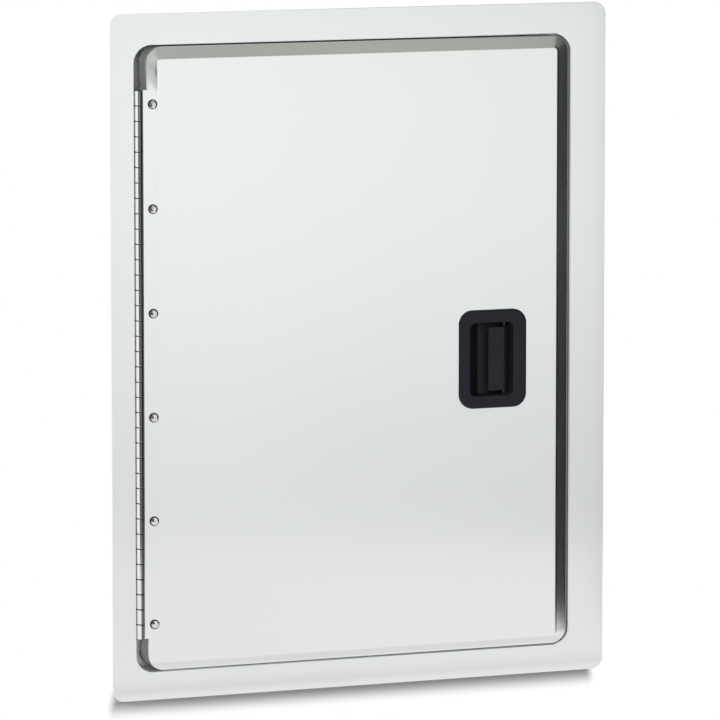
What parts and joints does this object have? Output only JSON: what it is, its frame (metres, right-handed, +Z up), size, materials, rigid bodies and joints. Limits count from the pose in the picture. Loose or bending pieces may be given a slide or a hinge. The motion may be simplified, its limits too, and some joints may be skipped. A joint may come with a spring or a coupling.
{
  "type": "bbq island access door",
  "caption": "Left-hinged stainless steel access door in a flanged trim frame for an outdoor kitchen island, with a full-height piano hinge and a recessed black pull latch.",
  "frame": {"origin": "middle of the flange's lower run, on the flange's rear (seating) face", "axes": "+X to the right seen from the front, +Y back into the island, +Z up"},
  "size_m": [0.445, 0.0488, 0.572],
  "materials": {
    "door_steel": "brushed stainless sheet, grain along Z",
    "frame_steel": "brushed stainless sheet, grain along Z",
    "hinge_steel": "polished stainless hinge stock",
    "rivet_steel": "bright stainless rivets",
    "inner_steel": "mill-finish stainless sheet",
    "fastener_steel": "plain stainless screws",
    "latch_black": "black moulded plastic, satin",
    "bolt_black": "black acetal, satin",
    "seal_rubber": "black rubber",
    "spring_steel": "plain spring wire"
  },
  "bodies": {
    "frame": {"trim_frame": "frame_steel", "top_stop": "inner_steel", "bottom_stop": "inner_steel", "hinge_side_stop": "inner_steel", "latch_side_stop": "inner_steel", "strike_plate": "inner_steel", "strike_screws": "fastener_steel", "bumpers": "seal_rubber", "hinge_frame_leaf": "hinge_steel", "hinge_pin": "hinge_steel", "frame_leaf_rivets": "rivet_steel"},
    "door": {"hinge_door_leaf": "hinge_steel", "door_pan": "door_steel", "door_rivets": "rivet_steel", "door_liner": "inner_steel", "liner_rivets": "rivet_steel", "door_stiffeners": "inner_steel", "latch_bezel": "latch_black", "latch_gasket": "seal_rubber", "latch_housing": "latch_black", "latch_screws": "fastener_steel", "paddle_pin": "fastener_steel", "paddle_spring": "spring_steel", "bolt_spring": "spring_steel"},
    "paddle": {"latch_paddle": "latch_black"},
    "bolt": {"latch_bolt": "bolt_black"}
  },
  "joints": [
    {"name": "door_swing", "type": "hinge", "parent": "frame", "child": "door", "pos_m": [-0.19835, -0.00165, 0.26945], "axis": [0, 0, -1], "range_deg": [0, 160]},
    {"name": "paddle_pull", "type": "hinge", "parent": "door", "child": "paddle", "pos_m": [0.1324, 0.0054, 0.2613], "axis": [0, 0, 1], "range_deg": [0, 14], "stiffness_Nm_per_rad": 0.09, "springref_deg": -25.78, "deforming": ["paddle_spring"]},
    {"name": "bolt_slide", "type": "slide", "parent": "door", "child": "bolt", "axis": [-1, 0, 0], "range_m": [0, 0.0045], "deforming": ["bolt_spring"]}
  ],
  "couplings": [
    {"joint": "bolt_slide", "follows": "paddle_pull", "m_per_rad": 0.018316}
  ]
}
